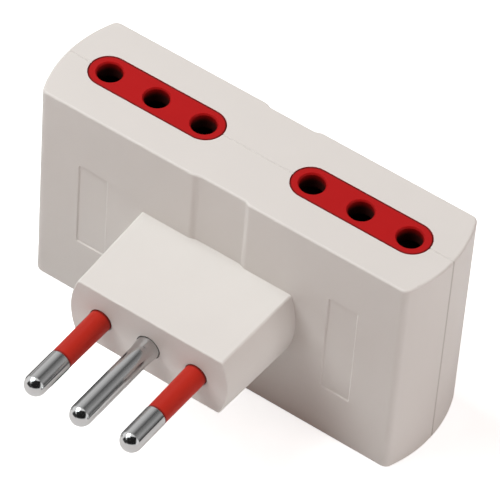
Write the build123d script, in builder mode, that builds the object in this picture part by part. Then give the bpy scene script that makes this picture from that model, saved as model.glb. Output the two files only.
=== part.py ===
from build123d import *
import os
from math import sqrt

# Plug and adapter for round pins in a row. All sizes are in millimetres.
# The origin is on the plug face, on the axis of the earth pin. The pins point to -Y, the sockets to +Z.

# Pin row, the same on the plug and on each socket
pin_pitch = 9.5
pin_diameter = 4.0
live_pin_length = 19.4
earth_pin_length = 20.0
sleeve_length = 11.0

# Pins inside the plug boss
neck_diameter = 3.0
sleeve_tip_diameter = 3.9
sleeve_base_diameter = 4.1
earth_base_diameter = 4.4
earth_flare_length = 2.4
collar_diameter = 6.4
collar_thickness = 1.2
tenon_diameter = 2.4
rivet_diameter = 3.8
rivet_thickness = 0.5

# Housing
body_width = 76.4
body_height = 43.4
body_depth = 20.7
end_radius = 24.5
corner_radius = 1.5
edge_radius = 0.4
wall = 2.2
groove = 0.2

# Upright channel down the middle of the back and the front
channel_width = 10.9
channel_slope = 1.1
channel_depth = 0.45
channel_edge_radius = 2.0

# Label recesses in the back: centre from the middle, width, height
left_recess = (-25.0, 6.0, 18.4)
right_recess = (24.8, 5.8, 21.6)
recess_depth = 0.2
recess_slope = 0.25
recess_corner = 0.4

# Plug boss: flat above and below, bowed at the sides, slightly narrower at the pin face
boss_length = 18.4
boss_face_width = 31.4
boss_face_height = 12.4
boss_root_width = 32.5
boss_root_height = 13.4
boss_bow = 1.35
boss_edge_radius = 0.6
boss_wall = 1.8
boss_face_wall = 3.0

# Sockets
socket_margin = 4.8
hole_diameter = 4.4
hole_lead_in = 0.25
insert_length = 26.3
insert_width = 7.0
insert_gap = 0.12
insert_edge = 0.12
flange_reach = 1.4
flange_thickness = 0.9

# Shutter tunnel under each socket face
tunnel_height = 6.0
tunnel_side = 0.8
tunnel_floor = 1.4
tunnel_end = 1.2

# Shutter: two ramped blades on two rails
blade_cover = 0.15
blade_low = 0.9
rail_width = 1.4
rail_height = 2.0
slide_gap = 0.2
rest_gap = 0.1
peg_diameter = 1.8
peg_length = 1.75

# Return spring, its round wire drawn with a few flat sides
spring_diameter = 2.6
spring_wire = 0.35
wire_sides = 6
spring_turns = 6
spring_seat_gap = 0.03

# Stamped bars and their rolled contact sleeves
strip_thickness = 0.8
strip_height = 3.6
strip_set_off = 0.2
riser_width = 4.0
lug_width = 5.0
lug_reach = 2.4
pole_gap = 2.2
contact_wall = 0.6
contact_slit = 0.8
contact_play = 0.05
contact_headroom = 0.4
earth_lead = 1.2

# Ribs, posts and locating pegs moulded into the shells
rib_thickness = 1.2
rib_bottom = -1.0
cheek_height = 4.5
middle_rib = 2.0
post_size = 3.0
locating_boss_diameter = 3.4
locating_boss_sink = 0.3
locating_boss_inset = 0.5
locating_peg_diameter = 1.8
locating_peg_length = 4.5

# Clearances
fit = 0.02
peg_fit = 0.05
pin_hole_gap = 0.12
seat_gap = 0.1

# Places worked out from the sizes above
row_y = boss_length + body_depth / 2
top = body_height / 2
inner_depth = body_depth / 2 - wall
hole_radius = hole_diameter / 2
socket_offset = body_width / 2 - socket_margin - insert_length / 2
flange_bottom = top - wall - flange_thickness
tunnel_bottom = flange_bottom - tunnel_height
insert_bottom = tunnel_bottom - tunnel_floor
flange_width = insert_width + 2 * flange_reach
flange_length = insert_length + 2 * flange_reach
blade_half = hole_radius + blade_cover
shutter_travel = 2 * blade_half
shutter_half_length = pin_pitch + blade_half
shutter_half_width = flange_width / 2 - tunnel_side - slide_gap
blade_high = blade_low + shutter_travel
spring_axis_z = tunnel_bottom + rest_gap + blade_high / 2
spring_bottom = spring_axis_z - (spring_diameter + spring_wire) / 2
contact_bore = pin_diameter / 2 + contact_play
contact_bottom = lug_reach + pole_gap
earth_contact_top = insert_bottom - contact_headroom
live_contact_top = earth_contact_top - earth_lead
strip_offset = contact_bore + strip_set_off + strip_thickness / 2
line_strip = (-contact_bottom - strip_height, -contact_bottom)
neutral_strip = (contact_bottom, contact_bottom + strip_height)
earth_strip = (-lug_reach - strip_height, -lug_reach)
contact_positions = {
    "line": socket_offset + pin_pitch,
    "earth": socket_offset,
    "neutral": socket_offset - pin_pitch,
}
pin_positions = {"line": -pin_pitch, "earth": 0.0, "neutral": pin_pitch}
inner_rib = max(socket_offset - pin_pitch / 2, pin_pitch + (lug_width + rib_thickness) / 2 + seat_gap)
outer_rib = socket_offset + pin_pitch / 2
rib_positions = [-outer_rib, -inner_rib, inner_rib, outer_rib]
rear, front = -1, 1


def along_row(y):
    """Upright plane across the adapter at y, with X to the right and Z up."""
    return Plane.XZ.offset(-y)


def plan_outline(inset, side):
    """Plan of one half of the housing, drawn in by inset: flat outer face and bowed ends."""
    half_depth = body_depth / 2 - inset
    bow_radius = end_radius - inset
    bow_centre = body_width / 2 - end_radius
    corner = bow_centre + sqrt(bow_radius**2 - half_depth**2)
    near_y = row_y + side * half_depth
    far_y = row_y - side * half_depth
    with BuildSketch() as outline:
        with BuildLine():
            Line((-corner, near_y), (corner, near_y))
            ThreePointArc((corner, near_y), (bow_centre + bow_radius, row_y), (corner, far_y))
            Line((corner, far_y), (-corner, far_y))
            ThreePointArc((-corner, far_y), (-bow_centre - bow_radius, row_y), (-corner, near_y))
        make_face()
        with Locations((0, row_y - side * body_depth / 2)):
            Rectangle(2 * body_width, body_depth, mode=Mode.SUBTRACT)
    return outline.sketch


def boss_outline(width, height):
    """Section of the plug boss: flat above and below, bowed at the sides."""
    flat = width / 2 - boss_bow
    with BuildSketch() as outline:
        with BuildLine():
            Line((-flat, -height / 2), (flat, -height / 2))
            ThreePointArc((flat, -height / 2), (width / 2, 0), (flat, height / 2))
            Line((flat, height / 2), (-flat, height / 2))
            ThreePointArc((-flat, height / 2), (-width / 2, 0), (-flat, -height / 2))
        make_face()
    return outline.sketch


def locating_places():
    """Where the locating pegs stand, as X and Z: along the floor, and between the springs and a bar."""
    boss_radius = locating_boss_diameter / 2
    low = -top + wall + boss_radius - locating_boss_sink
    far = body_width / 2 - wall - boss_radius - locating_boss_inset
    high = (neutral_strip[1] + spring_bottom) / 2
    return [(-far, low), (far, low), (-pin_pitch, low), (pin_pitch, low), (0, high)]


def moulded_half(side):
    """One half of the housing up to the parting plane, with its ribs."""
    face_y = row_y + side * body_depth / 2
    outermost, parting = (0, -1) if side == rear else (-1, 0)
    with BuildPart() as half:
        with BuildSketch(Plane.XY.offset(-top)):
            add(plan_outline(0, side))
        extrude(amount=body_height)
        fillet(half.edges().filter_by(Axis.Z).group_by(Axis.Y)[outermost], corner_radius)

        # Upright channel in the outer face
        with BuildSketch(Plane.XY.offset(-top)):
            with BuildLine():
                Polyline(
                    (-channel_width / 2, face_y),
                    (-channel_width / 2 + channel_slope, face_y - side * channel_depth),
                    (channel_width / 2 - channel_slope, face_y - side * channel_depth),
                    (channel_width / 2, face_y),
                    close=True,
                )
            make_face()
        extrude(amount=body_height, mode=Mode.SUBTRACT)
        shoulders = half.edges().filter_by(Axis.Z).filter_by_position(
            Axis.X, -channel_width / 2 - fit, channel_width / 2 + fit
        )
        fillet([e for e in shoulders if abs(e.center().Y - face_y) < fit], channel_edge_radius)

        # Rounded upper and lower rims, and half of the groove at the parting plane
        rims = half.faces().filter_by(Axis.Z).edges()
        parting_edges = half.faces().sort_by(Axis.Y)[parting].edges()
        fillet([e for e in rims if e not in parting_edges], edge_radius)
        chamfer(half.faces().sort_by(Axis.Y)[parting].outer_wire().edges(), groove)

        # Hollow inside
        with BuildSketch(Plane.XY.offset(-top + wall)):
            add(plan_outline(wall, side))
        extrude(amount=body_height - 2 * wall, mode=Mode.SUBTRACT)

        # Half of each socket window in the upper wall
        with BuildSketch(Plane.XY.offset(top - wall)):
            with Locations((-socket_offset, row_y), (socket_offset, row_y)):
                SlotOverall(insert_length + 2 * insert_gap, insert_width + 2 * insert_gap)
        extrude(amount=wall, mode=Mode.SUBTRACT)

        # Ribs between the contacts and clear of the pin lugs, which carry the inserts, with cheeks beside each
        reach = inner_depth + wall / 2
        cheek_reach = reach - flange_width / 2 - seat_gap
        with BuildSketch(along_row(row_y)):
            for x in rib_positions:
                with Locations((x, (rib_bottom + insert_bottom) / 2)):
                    Rectangle(rib_thickness, insert_bottom - rib_bottom)
            with Locations((0, (insert_bottom + top - wall / 2) / 2)):
                Rectangle(middle_rib, top - wall / 2 - insert_bottom)
            with Locations(*locating_places()):
                Circle(locating_boss_diameter / 2)
        extrude(amount=-side * reach)
        with BuildSketch(along_row(row_y + side * (flange_width / 2 + seat_gap))):
            for x in rib_positions:
                with Locations((x, insert_bottom + cheek_height / 2)):
                    Rectangle(rib_thickness, cheek_height)
        extrude(amount=-side * cheek_reach)
    return half.part


def plug_boss():
    """Boss that carries the pins, with its long edges and the rim of the pin face rounded."""
    with BuildPart() as boss:
        with BuildSketch(along_row(0)):
            add(boss_outline(boss_face_width, boss_face_height))
        with BuildSketch(along_row(boss_length + channel_depth)):
            add(boss_outline(boss_root_width, boss_root_height))
        loft()
        pin_face, *_, root = boss.faces().sort_by(Axis.Y)
        ends = pin_face.edges() + root.edges()
        fillet([e for e in boss.edges() if e not in ends], boss_edge_radius)
        fillet(boss.faces().sort_by(Axis.Y)[0].edges(), boss_edge_radius / 2)
    return boss.part


rear_half = moulded_half(rear)
front_half = moulded_half(front)
boss = plug_boss()

with BuildPart() as rear_shell:
    add(rear_half)

    # Label recesses with sloping walls
    for x, width, height in (left_recess, right_recess):
        for depth, inset in ((0, 0), (recess_depth, recess_slope)):
            with BuildSketch(along_row(boss_length + depth)):
                with Locations((x, 0)):
                    RectangleRounded(width - 2 * inset, height - 2 * inset, recess_corner - inset)
        loft(mode=Mode.SUBTRACT)

    # Plug boss, hollow behind the pin face
    add(boss)
    with BuildSketch(along_row(boss_face_wall)):
        add(boss_outline(boss_face_width - 2 * boss_wall, boss_face_height - 2 * boss_wall))
    extrude(amount=-(boss_length + wall - boss_face_wall), mode=Mode.SUBTRACT)

    # Holes for the pins
    with BuildSketch(along_row(0)):
        with Locations((pin_positions["line"], 0), (pin_positions["neutral"], 0)):
            Circle(sleeve_base_diameter / 2 + pin_hole_gap)
        with Locations((pin_positions["earth"], 0)):
            Circle(earth_base_diameter / 2 + pin_hole_gap)
    extrude(amount=-boss_face_wall, mode=Mode.SUBTRACT)

    # Posts behind the line and neutral bars, from the back wall to the strips
    post_y = row_y - strip_offset - strip_thickness / 2
    with BuildSketch(along_row(post_y)):
        with Locations((-socket_offset, sum(line_strip) / 2), (socket_offset, sum(line_strip) / 2)):
            Rectangle(post_size, post_size)
        with Locations((-pin_pitch / 2, sum(neutral_strip) / 2), (pin_pitch / 2, sum(neutral_strip) / 2)):
            Rectangle(post_size, post_size)
    extrude(amount=post_y - boss_length - wall / 2)

    # Sockets for the locating pegs
    with BuildSketch(along_row(row_y)):
        with Locations(*locating_places()):
            Circle(locating_peg_diameter / 2 + peg_fit)
    extrude(amount=locating_peg_length + peg_fit, mode=Mode.SUBTRACT)

with BuildPart() as front_shell:
    add(front_half)

    # Posts in front of the earth bar
    post_y = row_y + strip_offset + strip_thickness / 2
    with BuildSketch(along_row(post_y)):
        with Locations((-pin_pitch, sum(earth_strip) / 2), (pin_pitch, sum(earth_strip) / 2)):
            Rectangle(post_size, post_size)
    extrude(amount=-(row_y + inner_depth + wall / 2 - post_y))

    # Locating pegs
    with BuildSketch(along_row(row_y)):
        with Locations(*locating_places()):
            Circle(locating_peg_diameter / 2)
    extrude(amount=locating_peg_length)


def contact_bar(name, side, strip, contact_top):
    """Stamped bar of one pole: a strip, a lug for its pin, and a riser with a rolled sleeve per socket."""
    low, high = strip
    middle = (low + high) / 2
    contact_x = contact_positions[name]
    pin_x = pin_positions[name]
    lug_top = lug_reach if middle < 0 else -lug_reach
    with BuildPart() as bar:
        with BuildSketch(along_row(row_y + side * strip_offset)):
            with Locations((0, middle)):
                Rectangle(2 * contact_x + riser_width, high - low)
            with Locations((pin_x, (middle + lug_top) / 2)):
                Rectangle(lug_width, abs(lug_top - middle))
            with Locations(*((s * contact_x, (middle + contact_top) / 2) for s in (-1, 1))):
                Rectangle(riser_width, contact_top - middle)
            with Locations((pin_x, 0)):
                Circle(tenon_diameter / 2 + fit, mode=Mode.SUBTRACT)
        extrude(amount=strip_thickness / 2, both=True)
        with BuildSketch(Plane.XY.offset(contact_bottom)):
            with Locations((-contact_x, row_y), (contact_x, row_y)):
                Circle(contact_bore + contact_wall)
                Circle(contact_bore, mode=Mode.SUBTRACT)
            slot_y = row_y - side * (contact_bore + contact_wall / 2)
            with Locations((-contact_x, slot_y), (contact_x, slot_y)):
                Rectangle(contact_slit, 2 * contact_wall, mode=Mode.SUBTRACT)
        extrude(amount=contact_top - contact_bottom)
    return bar


line_bar = contact_bar("line", rear, line_strip, live_contact_top)
neutral_bar = contact_bar("neutral", rear, neutral_strip, live_contact_top)
earth_bar = contact_bar("earth", front, earth_strip, earth_contact_top)


def turned_pin(x, length, waist, strip_side):
    """Turned pin: domed tip, waist as given, collar behind the pin face, and a tail riveted to its bar."""
    radius = pin_diameter / 2
    strip_near = row_y + strip_side * strip_offset - strip_thickness / 2
    strip_far = strip_near + strip_thickness
    with BuildPart() as pin:
        with BuildSketch(Plane((x, 0, 0))):
            with BuildLine():
                CenterArc((0, radius - length), radius, -90, 90)
                Polyline(
                    (radius, radius - length),
                    *waist,
                    (collar_diameter / 2, boss_face_wall),
                    (collar_diameter / 2, boss_face_wall + collar_thickness),
                    (neck_diameter / 2, boss_face_wall + collar_thickness),
                    (neck_diameter / 2, strip_near),
                    (tenon_diameter / 2, strip_near),
                    (tenon_diameter / 2, strip_far),
                    (rivet_diameter / 2, strip_far),
                    (rivet_diameter / 2, strip_far + rivet_thickness),
                    (0, strip_far + rivet_thickness),
                    (0, -length),
                )
            make_face()
        revolve(axis=Axis((x, 0, 0), (0, 1, 0)))
    return pin


def pin_sleeve(x):
    """Insulating sleeve of a live pin, tapering towards the bare tip."""
    with BuildPart() as sleeve:
        with BuildSketch(Plane((x, 0, 0))):
            with BuildLine():
                Polyline(
                    (neck_diameter / 2 + fit, -sleeve_length),
                    (sleeve_tip_diameter / 2, -sleeve_length),
                    (sleeve_base_diameter / 2, 0),
                    (sleeve_base_diameter / 2, boss_face_wall),
                    (neck_diameter / 2 + fit, boss_face_wall),
                    close=True,
                )
            make_face()
        revolve(axis=Axis((x, 0, 0), (0, 1, 0)))
    return sleeve


live_waist = [
    (pin_diameter / 2, -sleeve_length),
    (neck_diameter / 2, -sleeve_length),
    (neck_diameter / 2, boss_face_wall),
]
earth_waist = [
    (pin_diameter / 2, -earth_flare_length),
    (earth_base_diameter / 2, 0),
    (earth_base_diameter / 2, boss_face_wall),
]
line_pin = turned_pin(pin_positions["line"], live_pin_length, live_waist, rear)
neutral_pin = turned_pin(pin_positions["neutral"], live_pin_length, live_waist, rear)
earth_pin = turned_pin(pin_positions["earth"], earth_pin_length, earth_waist, front)
line_pin_sleeve = pin_sleeve(pin_positions["line"])
neutral_pin_sleeve = pin_sleeve(pin_positions["neutral"])


def socket_insert(x, inward):
    """Socket face with three holes, and under it the tunnel of the shutter, open towards the middle."""
    with BuildPart() as insert:
        with BuildSketch(Plane.XY.offset(flange_bottom)):
            with Locations((x, row_y)):
                SlotOverall(insert_length, insert_width)
        extrude(amount=top - flange_bottom)
        chamfer(insert.faces().sort_by(Axis.Z)[-1].edges(), insert_edge)
        with BuildSketch(Plane.XY.offset(flange_bottom)):
            with Locations((x, row_y)):
                SlotOverall(flange_length, flange_width)
        extrude(amount=flange_thickness)
        tunnel_start = -shutter_half_length - rest_gap
        tunnel_stop = insert_length / 2
        with BuildSketch(Plane.XY.offset(insert_bottom)):
            with Locations((x + inward * (tunnel_start - tunnel_end + tunnel_stop) / 2, row_y)):
                Rectangle(tunnel_stop - tunnel_start + tunnel_end, flange_width)
        extrude(amount=flange_bottom - insert_bottom)
        with BuildSketch(Plane.XY.offset(tunnel_bottom)):
            with Locations((x + inward * (tunnel_start + tunnel_stop) / 2, row_y)):
                Rectangle(tunnel_stop - tunnel_start, flange_width - 2 * tunnel_side)
        extrude(amount=tunnel_height, mode=Mode.SUBTRACT)
        with Locations(*((x + s * pin_pitch, row_y, top) for s in (-1, 0, 1))):
            CounterSinkHole(hole_radius, hole_radius + hole_lead_in, top - insert_bottom)
    return insert


def shutter(x, inward):
    """Slider with two blades that close the outer holes. A pin on both ramps pushes it inward."""
    low = tunnel_bottom + rest_gap
    with BuildPart() as slider:
        with BuildSketch(along_row(row_y)):
            for s in (-1, 1):
                outer = x + inward * (s * pin_pitch - blade_half)
                inner = x + inward * (s * pin_pitch + blade_half)
                with BuildLine():
                    Polyline(
                        (outer, low),
                        (inner, low),
                        (inner, low + blade_high),
                        (outer, low + blade_low),
                        close=True,
                    )
                make_face()
        extrude(amount=shutter_half_width, both=True)
        rail_y = shutter_half_width - rail_width / 2
        with BuildSketch(Plane.XY.offset(low)):
            with Locations((x, row_y - rail_y), (x, row_y + rail_y)):
                Rectangle(2 * shutter_half_length, rail_width)
        extrude(amount=rail_height)
        peg_plane = Plane((x + inward * shutter_half_length, row_y, spring_axis_z), z_dir=(inward, 0, 0))
        with BuildSketch(peg_plane):
            Circle(peg_diameter / 2)
        extrude(amount=peg_length)
    return slider


def shutter_spring(x, inward):
    """Coil spring between the shutter's inner end and the middle rib."""
    start = x + inward * (shutter_half_length + spring_seat_gap + spring_wire / 2)
    end = -inward * (middle_rib / 2 + spring_seat_gap + spring_wire / 2)
    length = abs(end - start)
    with BuildPart() as coil:
        with BuildLine() as path:
            Helix(
                pitch=length / spring_turns,
                height=length,
                radius=spring_diameter / 2,
                center=(start, row_y, spring_axis_z),
                direction=(inward, 0, 0),
            )
        with BuildSketch(Plane(path.line @ 0, z_dir=path.line % 0)):
            RegularPolygon(spring_wire / 2, wire_sides)
        sweep(is_frenet=True)
    return coil


pieces = {
    "rear_shell": rear_shell,
    "front_shell": front_shell,
    "line_bar": line_bar,
    "neutral_bar": neutral_bar,
    "earth_bar": earth_bar,
    "line_pin": line_pin,
    "neutral_pin": neutral_pin,
    "earth_pin": earth_pin,
    "line_pin_sleeve": line_pin_sleeve,
    "neutral_pin_sleeve": neutral_pin_sleeve,
}
for name, x in (("left", -socket_offset), ("right", socket_offset)):
    inward = 1 if x < 0 else -1
    pieces[f"{name}_socket_insert"] = socket_insert(x, inward)
    pieces[f"{name}_shutter"] = shutter(x, inward)
    pieces[f"{name}_shutter_spring"] = shutter_spring(x, inward)

os.makedirs("parts", exist_ok=True)
for name, piece in pieces.items():
    piece.part.label = name
    export_step(piece.part, f"parts/{name}.step")
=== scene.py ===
"""Mains plug adapter: the looks of its shells, sockets, pins and shutters, built round the CAD frame."""

from math import cos, pi, radians, sin

import bmesh
import bpy
from bpy.props import FloatProperty, FloatVectorProperty, IntProperty, PointerProperty
from mathutils import Matrix, Vector


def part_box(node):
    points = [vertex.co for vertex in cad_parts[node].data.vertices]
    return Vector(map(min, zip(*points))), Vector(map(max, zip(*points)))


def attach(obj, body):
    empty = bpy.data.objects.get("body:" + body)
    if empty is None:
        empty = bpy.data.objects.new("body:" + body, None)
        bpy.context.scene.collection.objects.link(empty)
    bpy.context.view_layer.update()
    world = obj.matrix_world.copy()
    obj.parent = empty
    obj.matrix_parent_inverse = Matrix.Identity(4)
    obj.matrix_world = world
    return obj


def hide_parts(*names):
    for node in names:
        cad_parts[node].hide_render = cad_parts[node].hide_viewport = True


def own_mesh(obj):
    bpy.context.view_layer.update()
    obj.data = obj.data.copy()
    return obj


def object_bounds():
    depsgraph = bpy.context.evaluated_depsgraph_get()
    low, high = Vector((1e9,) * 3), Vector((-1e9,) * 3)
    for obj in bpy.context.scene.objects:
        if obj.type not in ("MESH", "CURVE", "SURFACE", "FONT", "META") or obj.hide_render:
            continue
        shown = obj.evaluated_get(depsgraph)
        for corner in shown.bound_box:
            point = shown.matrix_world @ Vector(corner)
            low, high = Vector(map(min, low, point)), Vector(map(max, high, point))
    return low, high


bl_info = {
    "name": "Plug Adapter",
    "version": (1, 0, 0),
    "blender": (4, 5, 0),
    "location": "View3D > Sidebar > Adapter",
    "description": "Builds the finish of a mains plug adapter with two shuttered sockets",
    "category": "Object",
}

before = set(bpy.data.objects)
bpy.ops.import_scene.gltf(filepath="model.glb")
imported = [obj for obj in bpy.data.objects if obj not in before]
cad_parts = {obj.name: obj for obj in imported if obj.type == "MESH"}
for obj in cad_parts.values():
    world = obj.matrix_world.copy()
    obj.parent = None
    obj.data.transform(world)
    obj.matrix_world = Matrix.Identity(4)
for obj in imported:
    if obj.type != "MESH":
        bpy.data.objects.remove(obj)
cad_low, cad_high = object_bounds()

MM = 0.001
HOUSING = "housing"
SHELLS = ("rear_shell", "front_shell")
SIDES = ("left", "right")
POLES = ("line", "neutral", "earth")
SLEEVED_POLES = ("line", "neutral")

# Joining the CAD triangles, and telling a real edge from a step of a curve
JOIN_DISTANCE = 0.0005 * MM
FLAT_ANGLE = radians(0.4)
EDGE_ANGLE = radians(28)

# How far below its top a socket insert still counts as its upper face
FACE_DEPTH = 0.3 * MM

# Height of the grain and hairlines in the finishes
RELIEF_HEIGHT = 0.02 * MM

# Steps round a coil of a spring and round its wire
COIL_STEPS = 36
WIRE_STEPS = 14

# The floor's width, and its glow for the camera and for polished pieces. Near the adapter the glow is weak,
# so that the shadow stays, and far off it is white
FLOOR_WIDTH = 6.0
NEAR_FLOOR = 0.12
FAR_FLOOR = 0.6
NEAR_GLOW = 0.72
FAR_GLOW = 1.0
MIRRORED_GLOW = 0.15

# Tones of the far card, each with its half turns round the pins, from the right over the top to the left
FAR_CARD_TONES = (
    (0.04, 0.05),
    (0.19, 0.48),
    (0.35, 0.27),
    (0.48, 0.12),
    (0.68, 0.66),
    (0.85, 0.82),
    (1.0, 0.12),
)

DOWN = Vector((0, 0, -1))
AWAY_FROM_PINS = Vector((0, 1, 0))
WHITE = (1.0, 1.0, 1.0, 1.0)
BLACK = (0.0, 0.0, 0.0, 1.0)
COLOUR = "NodeSocketColor"
VALUE = "NodeSocketFloat"


class AdapterShape(bpy.types.PropertyGroup):
    """Small sizes that the finish adds to the solid pieces."""

    shell_edge: FloatProperty(
        name="Shell edge",
        description="Width of the rounding on the crisp edges of the shells",
        default=0.07 * MM,
        unit="LENGTH",
    )
    insert_edge: FloatProperty(
        name="Insert edge",
        description="Width of the rounding on the edges of the socket inserts",
        default=0.05 * MM,
        unit="LENGTH",
    )
    small_edge: FloatProperty(
        name="Small edge",
        description="Width of the rounding on the pins, sleeves and inner pieces",
        default=0.05 * MM,
        unit="LENGTH",
    )
    hole: FloatProperty(
        name="Socket hole",
        description="Diameter of a socket hole",
        default=4.4 * MM,
        unit="LENGTH",
    )
    pitch: FloatProperty(
        name="Hole pitch",
        description="From one socket hole to the next",
        default=9.5 * MM,
        unit="LENGTH",
    )
    gap: FloatProperty(
        name="Socket gap",
        description="Between a socket insert and the shells round it",
        default=0.12 * MM,
        unit="LENGTH",
    )
    wire: FloatProperty(
        name="Spring wire",
        description="Diameter of the wire of a return spring",
        default=0.35 * MM,
        unit="LENGTH",
    )
    coils: IntProperty(
        name="Spring coils",
        description="Turns of a return spring",
        default=6,
    )


class AdapterColours(bpy.types.PropertyGroup):
    """Colours of the materials."""

    shell: FloatVectorProperty(
        name="Shell",
        description="Warm white of the moulded shells",
        default=(0.74, 0.715, 0.685),
        subtype="COLOR",
    )
    socket: FloatVectorProperty(
        name="Socket",
        description="Red of the socket inserts",
        default=(0.485, 0.006, 0.007),
        subtype="COLOR",
    )
    sleeve: FloatVectorProperty(
        name="Sleeve",
        description="Red of the pin sleeves",
        default=(0.50, 0.022, 0.011),
        subtype="COLOR",
    )
    # Painted shade in the groove between the shells
    groove_shade: FloatVectorProperty(
        name="Groove shade",
        description="Dust in the groove between the shells",
        default=(0.24, 0.205, 0.18),
        subtype="COLOR",
    )
    # Painted shade at the edges of the sockets, round the holes and at the ends of the sleeves
    shade: FloatVectorProperty(
        name="Shade",
        description="Dark red at the edges of the sockets, holes and sleeves",
        default=(0.10, 0.007, 0.006),
        subtype="COLOR",
    )
    # Painted shade far down the socket holes
    depth: FloatVectorProperty(
        name="Depth",
        description="Brown black far down the holes of the sockets",
        default=(0.022, 0.010, 0.008),
        subtype="COLOR",
    )
    nickel: FloatVectorProperty(
        name="Nickel",
        description="Plating of the pins",
        default=(0.63, 0.63, 0.63),
        subtype="COLOR",
    )
    brass: FloatVectorProperty(
        name="Brass",
        description="Stamped contact bars",
        default=(0.60, 0.38, 0.13),
        subtype="COLOR",
    )
    shutter: FloatVectorProperty(
        name="Shutter",
        description="Black of the shutters",
        default=(0.012, 0.012, 0.012),
        subtype="COLOR",
    )
    steel: FloatVectorProperty(
        name="Steel",
        description="Wire of the return springs",
        default=(0.45, 0.45, 0.46),
        subtype="COLOR",
    )
    floor: FloatVectorProperty(
        name="Floor",
        description="Pale floor under the adapter",
        default=(0.75, 0.75, 0.75),
        subtype="COLOR",
    )


class AdapterStudio(bpy.types.PropertyGroup):
    """Camera and light."""

    azimuth: FloatProperty(
        name="Azimuth",
        description="How far the camera stands round to the right of the pins",
        default=radians(31.845),
        subtype="ANGLE",
    )
    elevation: FloatProperty(
        name="Elevation",
        description="How far the camera looks down",
        default=radians(47.463),
        subtype="ANGLE",
    )
    roll: FloatProperty(
        name="Roll",
        description="Turn of the camera about its own view",
        default=radians(4.655),
        subtype="ANGLE",
    )
    target: FloatVectorProperty(
        name="Target",
        description="Point that the camera looks at",
        default=(-0.012 * MM, 28.585 * MM, 0.0),
        subtype="TRANSLATION",
    )
    distance: FloatProperty(
        name="Distance",
        description="From the camera to its target",
        default=752.26 * MM,
        unit="LENGTH",
    )
    lens: FloatProperty(
        name="Lens",
        description="Focal length on a sensor 36 mm wide, in millimetres",
        default=327.99,
        unit="CAMERA",
    )
    key: FloatProperty(
        name="Key light",
        description="Power of the soft light above, on the left",
        default=10.2,
        unit="POWER",
    )
    key_from: FloatVectorProperty(
        name="Key from",
        description="Direction of the soft light above",
        default=(-0.5, -0.15, 0.85),
        subtype="DIRECTION",
    )
    key_tint: FloatVectorProperty(
        name="Key tint",
        description="Colour of the soft light above",
        default=(0.922, 1.0, 1.01),
        subtype="COLOR",
    )
    front: FloatProperty(
        name="Front light",
        description="Power of the soft light in front",
        default=3.4,
        unit="POWER",
    )
    front_from: FloatVectorProperty(
        name="Front from",
        description="Direction of the soft light in front",
        default=(-0.45, -0.45, 0.77),
        subtype="DIRECTION",
    )
    side: FloatProperty(
        name="Side light",
        description="Power of the soft light on the right",
        default=5.0,
        unit="POWER",
    )
    side_from: FloatVectorProperty(
        name="Side from",
        description="Direction of the soft light on the right",
        default=(0.95, 0.1, 0.25),
        subtype="DIRECTION",
    )
    lamp_size: FloatProperty(
        name="Lamp size",
        description="Width of each soft light",
        default=0.62,
        unit="LENGTH",
    )
    lamp_distance: FloatProperty(
        name="Lamp distance",
        description="From each soft light to the middle of the adapter",
        default=1.2,
        unit="LENGTH",
    )
    ambient: FloatProperty(
        name="Ambient",
        description="Strength of the light from all round",
        default=0.24,
    )
    ambient_tint: FloatVectorProperty(
        name="Ambient tint",
        description="Colour of the light from all round",
        default=(1.0, 0.66, 0.57),
        subtype="COLOR",
    )


# Mesh helpers


def add_piece(name, mesh):
    """A new object at the origin for a mesh that holds its own place."""
    piece = bpy.data.objects.new(name, mesh)
    bpy.context.scene.collection.objects.link(piece)
    return piece


def settle(piece):
    """Turns the piece's modifiers into plain mesh."""
    graph = bpy.context.evaluated_depsgraph_get()
    solid = piece.evaluated_get(graph)
    mesh = bpy.data.meshes.new_from_object(solid, preserve_all_data_layers=True, depsgraph=graph)
    piece.modifiers.clear()
    piece.data = mesh
    mesh.name = piece.name


def joined_copy(node, name):
    """A copy of a CAD piece with its loose triangles joined and its flat faces whole."""
    mesh = bpy.data.meshes.new(name)
    work = bmesh.new()
    work.from_mesh(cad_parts[node].data)
    bmesh.ops.remove_doubles(work, verts=work.verts, dist=JOIN_DISTANCE)
    bmesh.ops.dissolve_limit(work, angle_limit=FLAT_ANGLE, verts=work.verts, edges=work.edges)
    work.to_mesh(mesh)
    work.free()
    if "custom_normal" in mesh.attributes:
        mesh.attributes.remove(mesh.attributes["custom_normal"])
    return add_piece(name, mesh)


def soften_edges(piece, width):
    """Rounds the crisp edges by a narrow band, with curves shaded smooth and flat faces kept flat."""
    piece.data.shade_smooth()
    piece.data.set_sharp_from_angle(angle=EDGE_ANGLE)
    bevel = piece.modifiers.new("Rounded edges", "BEVEL")
    bevel.width = width
    bevel.segments = 2
    bevel.limit_method = "ANGLE"
    bevel.angle_limit = EDGE_ANGLE
    bevel.miter_outer = "MITER_ARC"
    normals = piece.modifiers.new("Flat faces", "WEIGHTED_NORMAL")
    normals.keep_sharp = True
    settle(piece)


def stand_for(piece, node, body, material):
    """Gives the piece its finish and its body, and hides the CAD node that it stands for."""
    piece.data.materials.clear()
    piece.data.materials.append(material)
    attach(piece, body)
    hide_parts(node)


def moulded_piece(node, body, width, material):
    """A CAD piece with softened edges and its own finish."""
    piece = joined_copy(node, f"{node}_finish")
    soften_edges(piece, width)
    stand_for(piece, node, body, material)
    return piece


def socket_face():
    """Corners of the right socket insert's upper face, from its CAD piece."""
    points = [vertex.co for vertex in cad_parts["right_socket_insert"].data.vertices]
    top = max(point.z for point in points)
    rim = [point for point in points if point.z > top - FACE_DEPTH]
    low = Vector([min(point[axis] for point in rim) for axis in range(3)])
    high = Vector([max(point[axis] for point in rim) for axis in range(3)])
    return low, high


# Node helpers


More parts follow.
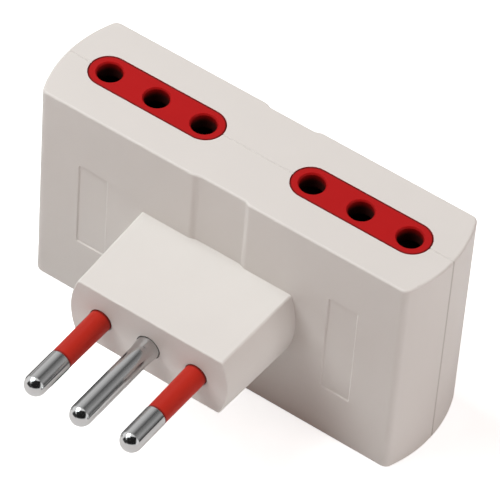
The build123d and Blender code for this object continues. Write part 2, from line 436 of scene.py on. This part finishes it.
class Wiring:
    """Adds nodes to a tree and wires them together. A value may be a plain one or another node's output."""

    def __init__(self, tree):
        self.tree = tree

    def add(self, kind, **settings):
        """A node of that kind, with its plain settings."""
        node = self.tree.nodes.new(kind)
        for key, value in settings.items():
            setattr(node, key, value)
        return node

    def feed(self, socket, value):
        """Gives an input its value."""
        if isinstance(value, bpy.types.NodeSocket):
            self.tree.links.new(value, socket)
        else:
            socket.default_value = value

    def group(self, tree, values):
        """The outputs of a node group with the given inputs."""
        node = self.add("ShaderNodeGroup", node_tree=tree)
        for key, value in values.items():
            self.feed(node.inputs[key], value)
        return node.outputs

    def math(self, operation, *values):
        """The result of a sum."""
        node = self.add("ShaderNodeMath", operation=operation)
        for socket, value in zip(node.inputs, values):
            self.feed(socket, value)
        return node.outputs[0]

    def length(self, first, second):
        """The length of the diagonal over two distances."""
        squares = self.math("ADD", self.math("POWER", first, 2.0), self.math("POWER", second, 2.0))
        return self.math("SQRT", squares)

    def spread(self, value, low, high, start=0.0, end=1.0, curve="LINEAR"):
        """A value that goes from low to high as the given one goes from start to end."""
        node = self.add("ShaderNodeMapRange", interpolation_type=curve)
        self.feed(node.inputs["Value"], value)
        self.feed(node.inputs["From Min"], start)
        self.feed(node.inputs["From Max"], end)
        self.feed(node.inputs["To Min"], low)
        self.feed(node.inputs["To Max"], high)
        return node.outputs["Result"]

    def mix(self, first, second, share, blend="MIX"):
        """A mix of two colours."""
        node = self.add("ShaderNodeMix", data_type="RGBA", blend_type=blend)
        self.feed(node.inputs["Factor"], share)
        self.feed(node.inputs["A"], first)
        self.feed(node.inputs["B"], second)
        return node.outputs["Result"]

    def place(self):
        """The X, Y and Z of a point on the piece."""
        split = self.add("ShaderNodeSeparateXYZ")
        self.feed(split.inputs["Vector"], self.add("ShaderNodeTexCoord").outputs["Object"])
        return split.outputs

    def noise(self, scale, detail, stretch=(1, 1, 1)):
        """Noise over the piece, fine in the directions where the stretch is large."""
        place = self.add("ShaderNodeMapping")
        self.feed(place.inputs["Vector"], self.add("ShaderNodeTexCoord").outputs["Object"])
        self.feed(place.inputs["Scale"], stretch)
        node = self.add("ShaderNodeTexNoise")
        self.feed(node.inputs["Vector"], place.outputs["Vector"])
        self.feed(node.inputs["Scale"], scale)
        self.feed(node.inputs["Detail"], detail)
        return node.outputs["Fac"]


def new_group(name, kind, inputs, outputs):
    """A node group with named sockets: its wiring, what it is given and what it puts out."""
    tree = bpy.data.node_groups.new(name, kind)
    for label, socket in inputs.items():
        tree.interface.new_socket(label, in_out="INPUT", socket_type=socket)
    for label, socket in outputs.items():
        tree.interface.new_socket(label, in_out="OUTPUT", socket_type=socket)
    wiring = Wiring(tree)
    return wiring, wiring.add("NodeGroupInput").outputs, wiring.add("NodeGroupOutput").inputs


# Finishes that materials share


def moulded_skin():
    """Moulded plastic: a fine spark-eroded grain, faint flow tones and patches of gloss."""
    name = "Moulded skin"
    if name in bpy.data.node_groups:
        return bpy.data.node_groups[name]
    inputs = {"Colour": COLOUR, "Tone": VALUE, "Gloss": VALUE, "Gloss spread": VALUE}
    outputs = {"Colour": COLOUR, "Roughness": VALUE, "Height": VALUE}
    wiring, given, result = new_group(name, "ShaderNodeTree", inputs, outputs)

    flow = wiring.noise(scale=90.0, detail=3.0, stretch=(1, 1, 0.5))
    tone = wiring.spread(flow, wiring.math("SUBTRACT", 1.0, given["Tone"]), 1.0)
    wiring.feed(result["Colour"], wiring.mix(given["Colour"], tone, 1.0, blend="MULTIPLY"))

    patches = wiring.noise(scale=160.0, detail=4.0)
    roughness = wiring.math("MULTIPLY_ADD", patches, given["Gloss spread"], given["Gloss"])
    wiring.feed(result["Roughness"], roughness)

    wiring.feed(result["Height"], wiring.noise(scale=5200.0, detail=2.0))
    return wiring.tree


def polished_metal():
    """Polished metal: hairlines along the piece, faint rings across it and thin tarnish."""
    name = "Polished metal"
    if name in bpy.data.node_groups:
        return bpy.data.node_groups[name]
    inputs = {"Colour": COLOUR, "Tarnish": VALUE, "Gloss": VALUE, "Gloss spread": VALUE}
    outputs = {"Colour": COLOUR, "Roughness": VALUE, "Height": VALUE}
    wiring, given, result = new_group(name, "ShaderNodeTree", inputs, outputs)

    haze = wiring.noise(scale=420.0, detail=3.0, stretch=(1, 0.35, 1))
    tone = wiring.spread(haze, wiring.math("SUBTRACT", 1.0, given["Tarnish"]), 1.0)
    wiring.feed(result["Colour"], wiring.mix(given["Colour"], tone, 1.0, blend="MULTIPLY"))

    hairlines = wiring.noise(scale=3600.0, detail=2.0, stretch=(1, 0.04, 1))
    roughness = wiring.math("MULTIPLY_ADD", hairlines, given["Gloss spread"], given["Gloss"])
    wiring.feed(result["Roughness"], roughness)

    rings = wiring.noise(scale=2600.0, detail=1.0, stretch=(0.02, 1, 0.02))
    wiring.feed(result["Height"], wiring.math("ADD", hairlines, rings))
    return wiring.tree


def painted_shade_group():
    """Painted shade: mixes a colour towards a shade colour where a place, such as how far down a hole a point
    lies, goes from unshaded to dark.
    """
    name = "Settled grime"
    if name in bpy.data.node_groups:
        return bpy.data.node_groups[name]
    inputs = {
        "Colour": COLOUR,
        "Grime": COLOUR,
        "Place": VALUE,
        "Clean at": VALUE,
        "Dark at": VALUE,
        "Amount": VALUE,
    }
    wiring, given, result = new_group(name, "ShaderNodeTree", inputs, {"Colour": COLOUR})
    reach = wiring.spread(given["Place"], 0.0, 1.0, given["Clean at"], given["Dark at"], curve="SMOOTHSTEP")
    share = wiring.math("MULTIPLY", reach, given["Amount"])
    wiring.feed(result["Colour"], wiring.mix(given["Colour"], given["Grime"], share))
    return wiring.tree


def socket_places(shape):
    """How far a point lies from the nearest gap round a socket insert, and from the nearest socket hole."""
    name = "Socket places"
    if name in bpy.data.node_groups:
        return bpy.data.node_groups[name]
    outputs = {"From gap": VALUE, "From hole": VALUE}
    wiring, _, result = new_group(name, "ShaderNodeTree", {}, outputs)
    low, high = socket_face()
    middle = (low + high) / 2
    rounding = (high.y - low.y) / 2
    straight = (high.x - low.x) / 2 - rounding

    place = wiring.place()
    along = wiring.math("SUBTRACT", wiring.math("ABSOLUTE", place["X"]), middle.x)
    across = wiring.math("SUBTRACT", place["Y"], middle.y)
    past_straight = wiring.math("SUBTRACT", wiring.math("ABSOLUTE", along), straight)
    from_spine = wiring.length(wiring.math("MAXIMUM", past_straight, 0.0), across)
    past_gap = wiring.math("SUBTRACT", from_spine, rounding + shape.gap / 2)
    wiring.feed(result["From gap"], wiring.math("ABSOLUTE", past_gap))

    from_axis = wiring.math("WRAP", along, shape.pitch / 2, -shape.pitch / 2)
    from_hole = wiring.math("SUBTRACT", wiring.length(from_axis, across), shape.hole / 2)
    wiring.feed(result["From hole"], from_hole)
    return wiring.tree


# Materials


def opaque(colour):
    """A colour property as red, green, blue and full alpha."""
    return (*colour, 1.0)


def finish_material(name, finish, values, bump, metallic=0.0, specular=0.5):
    """A new Principled material fed by one of the shared finishes."""
    material = bpy.data.materials.new(name)
    material.use_nodes = True
    wiring = Wiring(material.node_tree)
    surface = material.node_tree.nodes["Principled BSDF"].inputs
    skin = wiring.group(finish, values)
    relief = wiring.add("ShaderNodeBump")
    relief.inputs["Strength"].default_value = bump
    relief.inputs["Distance"].default_value = RELIEF_HEIGHT
    wiring.feed(relief.inputs["Height"], skin["Height"])
    wiring.feed(surface["Base Color"], skin["Colour"])
    wiring.feed(surface["Roughness"], skin["Roughness"])
    wiring.feed(surface["Normal"], relief.outputs["Normal"])
    wiring.feed(surface["Metallic"], metallic)
    wiring.feed(surface["Specular IOR Level"], specular)
    return material


def add_painted_shade(material, colour, place, unshaded, dark, amount):
    """Paints shade into a finished material's colour where a distance goes from unshaded to dark."""
    wiring = Wiring(material.node_tree)
    base = material.node_tree.nodes["Principled BSDF"].inputs["Base Color"]
    values = {
        "Colour": base.links[0].from_socket,
        "Grime": opaque(colour),
        "Place": place,
        "Clean at": unshaded,
        "Dark at": dark,
        "Amount": amount,
    }
    wiring.feed(base, wiring.group(painted_shade_group(), values)["Colour"])


def shell_plastic(shape, colours):
    """Satin warm white of the shells, with painted shade in the groove where they meet, and painted shade
    with red reflected light beside the socket gaps.
    """
    values = {"Colour": opaque(colours.shell), "Tone": 0.05, "Gloss": 0.42, "Gloss spread": 0.12}
    material = finish_material("Housing plastic", moulded_skin(), values, bump=0.25)
    wiring = Wiring(material.node_tree)
    place = wiring.place()
    low, high = socket_face()

    # Painted shade in the groove where the shells meet: none on the upper face, stronger further below it
    below_top = wiring.math("SUBTRACT", high.z, place["Z"])
    groove_shade = wiring.spread(below_top, low=0.0, high=0.35, end=0.6 * MM)
    from_groove = wiring.math("ABSOLUTE", wiring.math("SUBTRACT", place["Y"], (low.y + high.y) / 2))
    add_painted_shade(material, colours.groove_shade, from_groove, unshaded=0.3 * MM, dark=0.06 * MM, amount=groove_shade)

    # Painted shade with red reflected light from the inserts, on the shell beside the gap round each socket
    from_gap = wiring.group(socket_places(shape), {})["From gap"]
    gap = shape.gap
    add_painted_shade(material, colours.socket, from_gap, unshaded=0.75 * gap, dark=0.55 * gap, amount=0.9)
    return material


def socket_plastic(shape, colours):
    """Satin red of the socket inserts, with painted shade round and down their holes and beside the gap round
    them.
    """
    values = {"Colour": opaque(colours.socket), "Tone": 0.12, "Gloss": 0.36, "Gloss spread": 0.14}
    material = finish_material("Socket plastic", moulded_skin(), values, bump=0.2, specular=0.12)
    wiring = Wiring(material.node_tree)
    places = wiring.group(socket_places(shape), {})
    below_top = wiring.math("SUBTRACT", socket_face()[1].z, wiring.place()["Z"])
    gap = shape.gap
    # Painted shade round the holes, beside the gap round the insert and far down the holes
    add_painted_shade(material, colours.shade, places["From hole"], unshaded=0.3 * MM, dark=0.05 * MM, amount=0.3)
    add_painted_shade(material, colours.shade, places["From gap"], unshaded=3.2 * gap, dark=0.5 * gap, amount=0.75)
    add_painted_shade(material, colours.depth, below_top, unshaded=0.1 * MM, dark=1.8 * MM, amount=0.95)
    return material


def sleeve_plastic(colours):
    """Satin red of the pin sleeves, with painted shade at both ends."""
    values = {"Colour": opaque(colours.sleeve), "Tone": 0.15, "Gloss": 0.34, "Gloss spread": 0.16}
    material = finish_material("Sleeve plastic", moulded_skin(), values, bump=0.2, specular=0.2)
    wiring = Wiring(material.node_tree)
    along = wiring.place()["Y"]
    from_boss = wiring.math("ABSOLUTE", along)
    from_tip = wiring.math("SUBTRACT", along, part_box("line_pin_sleeve")[0].y)
    from_end = wiring.math("MINIMUM", from_boss, from_tip)
    # Painted shade at both ends of the sleeve, at the boss and at the bare pin
    add_painted_shade(material, colours.shade, from_end, unshaded=0.5 * MM, dark=0.1 * MM, amount=0.8)
    return material


def shutter_plastic(colours):
    """Dull black of the shutters."""
    values = {"Colour": opaque(colours.shutter), "Tone": 0.2, "Gloss": 0.45, "Gloss spread": 0.15}
    return finish_material("Shutter plastic", moulded_skin(), values, bump=0.3)


def pin_nickel(colours):
    """Polished nickel plate of the pins."""
    values = {"Colour": opaque(colours.nickel), "Tarnish": 0.12, "Gloss": 0.06, "Gloss spread": 0.16}
    return finish_material("Pin nickel", polished_metal(), values, bump=0.12, metallic=1.0)


def bar_brass(colours):
    """Stamped brass of the contact bars."""
    values = {"Colour": opaque(colours.brass), "Tarnish": 0.35, "Gloss": 0.22, "Gloss spread": 0.2}
    return finish_material("Bar brass", polished_metal(), values, bump=0.2, metallic=1.0)


def spring_steel(colours):
    """Drawn steel wire of the springs."""
    values = {"Colour": opaque(colours.steel), "Tarnish": 0.25, "Gloss": 0.24, "Gloss spread": 0.15}
    return finish_material("Spring steel", polished_metal(), values, bump=0.2, metallic=1.0)


def card_glow(strength):
    """An even glow with no shine, for a card."""
    material = bpy.data.materials.new("Card")
    material.use_nodes = True
    surface = material.node_tree.nodes["Principled BSDF"].inputs
    surface["Base Color"].default_value = BLACK
    surface["Specular IOR Level"].default_value = 0.0
    surface["Emission Color"].default_value = WHITE
    surface["Emission Strength"].default_value = strength
    return material


def graded_glow():
    """A glow that changes with the angle round the pins, for the far card."""
    material = card_glow(1.0)
    wiring = Wiring(material.node_tree)
    place = wiring.place()
    half_turns = wiring.math("DIVIDE", wiring.math("ARCTAN2", place["Z"], place["X"]), pi)
    grade = wiring.add("ShaderNodeValToRGB")
    stops = grade.color_ramp.elements
    while len(stops) < len(FAR_CARD_TONES):
        stops.new(1.0)
    for stop, (position, tone) in zip(stops, FAR_CARD_TONES):
        stop.position = position
        stop.color = (tone, tone, tone, 1.0)
    wiring.feed(grade.inputs["Fac"], half_turns)
    surface = material.node_tree.nodes["Principled BSDF"].inputs
    wiring.feed(surface["Emission Color"], grade.outputs["Color"])
    return material


def seen_rays(wiring, seen, mirrored):
    """A glow that the camera sees and one that polished pieces mirror, neither of which lights anything."""
    rays = wiring.add("ShaderNodeLightPath").outputs
    straight = wiring.math("MAXIMUM", rays["Is Camera Ray"], rays["Is Transmission Ray"])
    bounced = wiring.math("MULTIPLY", rays["Is Glossy Ray"], mirrored)
    return wiring.math("MULTIPLY_ADD", straight, seen, bounced)


def pale_floor(colours):
    """Matt pale floor, which shows white round the adapter's shadow."""
    material = bpy.data.materials.new("Pale floor")
    material.use_nodes = True
    wiring = Wiring(material.node_tree)
    surface = material.node_tree.nodes["Principled BSDF"].inputs
    surface["Base Color"].default_value = opaque(colours.floor)
    surface["Roughness"].default_value = 0.9
    surface["Specular IOR Level"].default_value = 0.0
    surface["Emission Color"].default_value = WHITE
    place = wiring.place()
    from_middle = wiring.length(place["X"], place["Y"])
    glow = wiring.spread(from_middle, NEAR_GLOW, FAR_GLOW, NEAR_FLOOR, FAR_FLOOR, curve="SMOOTHSTEP")
    wiring.feed(surface["Emission Strength"], seen_rays(wiring, glow, MIRRORED_GLOW))
    return material


# Springs


def wound_coil():
    """Geometry nodes that wind a round wire into a coil along Z."""
    name = "Wound coil"
    if name in bpy.data.node_groups:
        return bpy.data.node_groups[name]
    inputs = {
        "Coils": VALUE,
        "Coil radius": VALUE,
        "Length": VALUE,
        "Wire": VALUE,
        "Material": "NodeSocketMaterial",
    }
    outputs = {"Geometry": "NodeSocketGeometry"}
    wiring, given, result = new_group(name, "GeometryNodeTree", inputs, outputs)

    path = wiring.add("GeometryNodeCurveSpiral")
    wiring.feed(path.inputs["Resolution"], COIL_STEPS)
    wiring.feed(path.inputs["Rotations"], given["Coils"])
    wiring.feed(path.inputs["Start Radius"], given["Coil radius"])
    wiring.feed(path.inputs["End Radius"], given["Coil radius"])
    wiring.feed(path.inputs["Height"], given["Length"])
    section = wiring.add("GeometryNodeCurvePrimitiveCircle")
    wiring.feed(section.inputs["Resolution"], WIRE_STEPS)
    wiring.feed(section.inputs["Radius"], wiring.math("DIVIDE", given["Wire"], 2.0))

    wire = wiring.add("GeometryNodeCurveToMesh")
    wiring.feed(wire.inputs["Curve"], path.outputs["Curve"])
    wiring.feed(wire.inputs["Profile Curve"], section.outputs["Curve"])
    wiring.feed(wire.inputs["Fill Caps"], True)
    smooth = wiring.add("GeometryNodeSetShadeSmooth")
    wiring.feed(smooth.inputs["Geometry"], wire.outputs["Mesh"])
    whole = wiring.add("GeometryNodeRealizeInstances")
    wiring.feed(whole.inputs["Geometry"], smooth.outputs["Geometry"])
    finish = wiring.add("GeometryNodeSetMaterial")
    wiring.feed(finish.inputs["Geometry"], whole.outputs["Geometry"])
    wiring.feed(finish.inputs["Material"], given["Material"])
    wiring.feed(result["Geometry"], finish.outputs["Geometry"])
    return wiring.tree


def coil_piece(name, sizes, material):
    """A coil along Z as a plain mesh piece, from the geometry nodes."""
    tree = wound_coil()
    piece = add_piece(name, bpy.data.meshes.new(name))
    winding = piece.modifiers.new("Winding", "NODES")
    winding.node_group = tree
    identifiers = {item.name: item.identifier for item in tree.interface.items_tree if item.in_out == "INPUT"}
    for label, size in sizes.items():
        winding[identifiers[label]] = float(size)
    winding[identifiers["Material"]] = material
    settle(piece)
    return piece


def add_spring(side, shape, steel):
    """A coil in the place of a return spring, built at its CAD piece's length. The real spring shortens
    towards the middle rib as its shutter opens; this coil keeps its length.
    """
    node = f"{side}_shutter_spring"
    low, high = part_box(node)
    middle = (low + high) / 2
    reach = high - low
    length = reach.x - shape.wire
    sizes = {
        "Coils": shape.coils,
        "Coil radius": (reach.z - shape.wire) / 2,
        "Length": length,
        "Wire": shape.wire,
    }
    spring = coil_piece(f"{node}_finish", sizes, steel)
    start = middle - Vector((length / 2, 0, 0))
    spring.data.transform(Matrix.Translation(start) @ Matrix.Rotation(pi / 2, 4, "Y"))
    spring.data.update()
    stand_for(spring, node, HOUSING, steel)

    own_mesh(spring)


# Pieces


class ADAPTER_OT_housing(bpy.types.Operator):
    """Make the white rear and front shells"""

    bl_idname = "adapter.housing"
    bl_label = "Housing"

    def execute(self, context):
        shape = context.scene.adapter_shape
        plastic = shell_plastic(shape, context.scene.adapter_colours)
        for node in SHELLS:
            moulded_piece(node, HOUSING, shape.shell_edge, plastic)
        return {"FINISHED"}


class ADAPTER_OT_sockets(bpy.types.Operator):
    """Make the red socket inserts"""

    bl_idname = "adapter.sockets"
    bl_label = "Sockets"

    def execute(self, context):
        shape = context.scene.adapter_shape
        plastic = socket_plastic(shape, context.scene.adapter_colours)
        for side in SIDES:
            moulded_piece(f"{side}_socket_insert", HOUSING, shape.insert_edge, plastic)
        return {"FINISHED"}


class ADAPTER_OT_pins(bpy.types.Operator):
    """Make the plated pins and their red sleeves"""

    bl_idname = "adapter.pins"
    bl_label = "Pins"

    def execute(self, context):
        shape = context.scene.adapter_shape
        nickel = pin_nickel(context.scene.adapter_colours)
        for pole in POLES:
            moulded_piece(f"{pole}_pin", HOUSING, shape.small_edge, nickel)
        plastic = sleeve_plastic(context.scene.adapter_colours)
        for pole in SLEEVED_POLES:
            sleeve = moulded_piece(f"{pole}_pin_sleeve", HOUSING, shape.small_edge, plastic)
            # Kept out of what the plating mirrors, which is grey
            sleeve.visible_glossy = False
        return {"FINISHED"}


class ADAPTER_OT_contacts(bpy.types.Operator):
    """Make the brass contact bars"""

    bl_idname = "adapter.contacts"
    bl_label = "Contact bars"

    def execute(self, context):
        shape = context.scene.adapter_shape
        brass = bar_brass(context.scene.adapter_colours)
        for pole in POLES:
            moulded_piece(f"{pole}_bar", HOUSING, shape.small_edge, brass)
        return {"FINISHED"}


class ADAPTER_OT_shutters(bpy.types.Operator):
    """Make the black shutters and their springs"""

    bl_idname = "adapter.shutters"
    bl_label = "Shutters"

    def execute(self, context):
        shape = context.scene.adapter_shape
        plastic = shutter_plastic(context.scene.adapter_colours)
        steel = spring_steel(context.scene.adapter_colours)
        for side in SIDES:
            shutter = f"{side}_shutter"
            moulded_piece(shutter, shutter, shape.small_edge, plastic)
            add_spring(side, shape, steel)
        return {"FINISHED"}


# Stage


class ADAPTER_OT_stage(bpy.types.Operator):
    """Make the camera, the soft lights, the pale floor and the cards that the pins mirror"""

    bl_idname = "adapter.stage"
    bl_label = "Stage"

    def execute(self, context):
        studio = context.scene.adapter_studio
        context.scene.view_settings.view_transform = "Standard"
        self.add_camera(context, studio)
        self.add_lights(context, studio)
        self.add_floor(context.scene.adapter_colours)
        self.add_surround(context, studio)
        self.add_cards()
        return {"FINISHED"}

    def add_camera(self, context, studio):
        """Camera at the photograph's angle."""
        lens = bpy.data.cameras.new("Camera")
        lens.lens = studio.lens
        lens.clip_start = 0.01
        lens.clip_end = 20.0
        camera = bpy.data.objects.new("Camera", lens)
        context.scene.collection.objects.link(camera)
        turn, rise = studio.azimuth, studio.elevation
        level = Vector((cos(turn), sin(turn), 0))
        back = Vector((sin(turn) * cos(rise), -cos(turn) * cos(rise), sin(rise)))
        right = cos(studio.roll) * level + sin(studio.roll) * back.cross(level)
        axes = Matrix((right, back.cross(right), back)).transposed()
        place = Vector(studio.target) + back * studio.distance
        camera.matrix_world = Matrix.Translation(place) @ axes.to_4x4()
        context.scene.camera = camera

    def add_lights(self, context, studio):
        """Soft lights above on the left, in front and on the right. Polished pieces mirror only the first."""
        self.add_light(context, studio, "Key", studio.key, studio.key_from).data.color = studio.key_tint
        self.add_light(context, studio, "Front", studio.front, studio.front_from).visible_glossy = False
        self.add_light(context, studio, "Side", studio.side, studio.side_from).visible_glossy = False

    def add_light(self, context, studio, name, power, direction):
        """A soft light that shines on the middle of the adapter."""
        lamp = bpy.data.lights.new(name, "AREA")
        lamp.size = studio.lamp_size
        lamp.energy = power
        light = bpy.data.objects.new(name, lamp)
        context.scene.collection.objects.link(light)
        offset = Vector(direction).normalized() * studio.lamp_distance
        light.location = (cad_low + cad_high) / 2 + offset
        light.rotation_mode = "QUATERNION"
        light.rotation_quaternion = (-offset).to_track_quat("-Z", "Y")
        return light

    def add_floor(self, colours):
        """A wide floor under the adapter."""
        level = Vector((0, 0, cad_low.z))
        floor = self.add_sheet("Floor", level, DOWN, FLOOR_WIDTH, FLOOR_WIDTH)
        floor.data.materials.append(pale_floor(colours))

    def add_surround(self, context, studio):
        """Even light from all round, which shows white to the camera and in polished pieces."""
        world = bpy.data.worlds.new("Studio")
        context.scene.world = world
        world.use_nodes = True
        wiring = Wiring(world.node_tree)
        background = world.node_tree.nodes["Background"].inputs
        rays = seen_rays(wiring, seen=1.0, mirrored=1.0)
        wiring.feed(background["Color"], wiring.mix(opaque(studio.ambient_tint), WHITE, rays))
        wiring.feed(background["Strength"], wiring.math("MAXIMUM", rays, studio.ambient))

    def add_cards(self):
        """Cards that only polished pieces mirror, which give the pins their dark and light bands."""
        behind_camera = Vector((0.52, -0.80, 1.02))
        self.add_card("Camera card", behind_camera, behind_camera, card_glow(0.02), width=2.8, height=2.2)
        left_front = Vector((-0.80, -1.10, 0.42))
        self.add_card("Left card", left_front, left_front, card_glow(0.05), width=1.3, height=0.8)
        # Painted shadow: a dark card just above the floor under the left of the adapter, which the pins
        # mirror in place of the shaded floor there
        above_floor = 0.3 * MM
        under_pins = Vector((-0.054, 0.034, cad_low.z + above_floor))
        self.add_card("Floor shade card", under_pins, DOWN, card_glow(0.07), width=0.112, height=0.073)
        far_height = 4.0
        far_side = Vector((0, 1.3, cad_low.z + far_height / 2))
        self.add_card("Far card", far_side, AWAY_FROM_PINS, graded_glow(), width=8.0, height=far_height)

    def add_card(self, name, place, away, glow, width, height):
        """A card that only mirror rays see."""
        card = self.add_sheet(name, place, away, width, height)
        card.data.materials.append(glow)
        card.visible_camera = False
        card.visible_diffuse = False
        card.visible_transmission = False
        card.visible_volume_scatter = False
        card.visible_shadow = False

    def add_sheet(self, name, place, away, width, height):
        """A flat sheet of the stage, with its middle at a place and its back turned the given way."""
        x, y = width / 2, height / 2
        mesh = bpy.data.meshes.new(name)
        mesh.from_pydata([(-x, -y, 0), (x, -y, 0), (x, y, 0), (-x, y, 0)], [], [(0, 1, 2, 3)])
        mesh.transform(Matrix.Translation(place) @ away.to_track_quat("-Z", "Y").to_matrix().to_4x4())
        sheet = add_piece(name, mesh)
        return sheet


# Sidebar and start


class ADAPTER_PT_sidebar(bpy.types.Panel):
    """Lists the adapter's sizes, colours and build steps"""

    bl_idname = "ADAPTER_PT_sidebar"
    bl_label = "Plug Adapter"
    bl_space_type = "VIEW_3D"
    bl_region_type = "UI"
    bl_category = "Adapter"

    def draw(self, context):
        layout = self.layout
        for name in SETTINGS:
            group = getattr(context.scene, name)
            box = layout.box()
            for key in group.__annotations__:
                box.prop(group, key)
        for operator in OPERATORS:
            layout.operator(operator.bl_idname)


OPERATORS = (
    ADAPTER_OT_stage,
    ADAPTER_OT_housing,
    ADAPTER_OT_sockets,
    ADAPTER_OT_pins,
    ADAPTER_OT_contacts,
    ADAPTER_OT_shutters,
)
SETTINGS = {
    "adapter_shape": AdapterShape,
    "adapter_colours": AdapterColours,
    "adapter_studio": AdapterStudio,
}


def register():
    for kind in (*SETTINGS.values(), *OPERATORS, ADAPTER_PT_sidebar):
        bpy.utils.register_class(kind)
    for name, group in SETTINGS.items():
        setattr(bpy.types.Scene, name, PointerProperty(type=group))


def unregister():
    for name in SETTINGS:
        delattr(bpy.types.Scene, name)
    for kind in (ADAPTER_PT_sidebar, *reversed(OPERATORS), *SETTINGS.values()):
        bpy.utils.unregister_class(kind)


def main():
    register()
    bpy.ops.adapter.stage()
    bpy.ops.adapter.housing()
    bpy.ops.adapter.sockets()
    bpy.ops.adapter.pins()
    bpy.ops.adapter.contacts()
    bpy.ops.adapter.shutters()


if __name__ == "__main__":
    main()
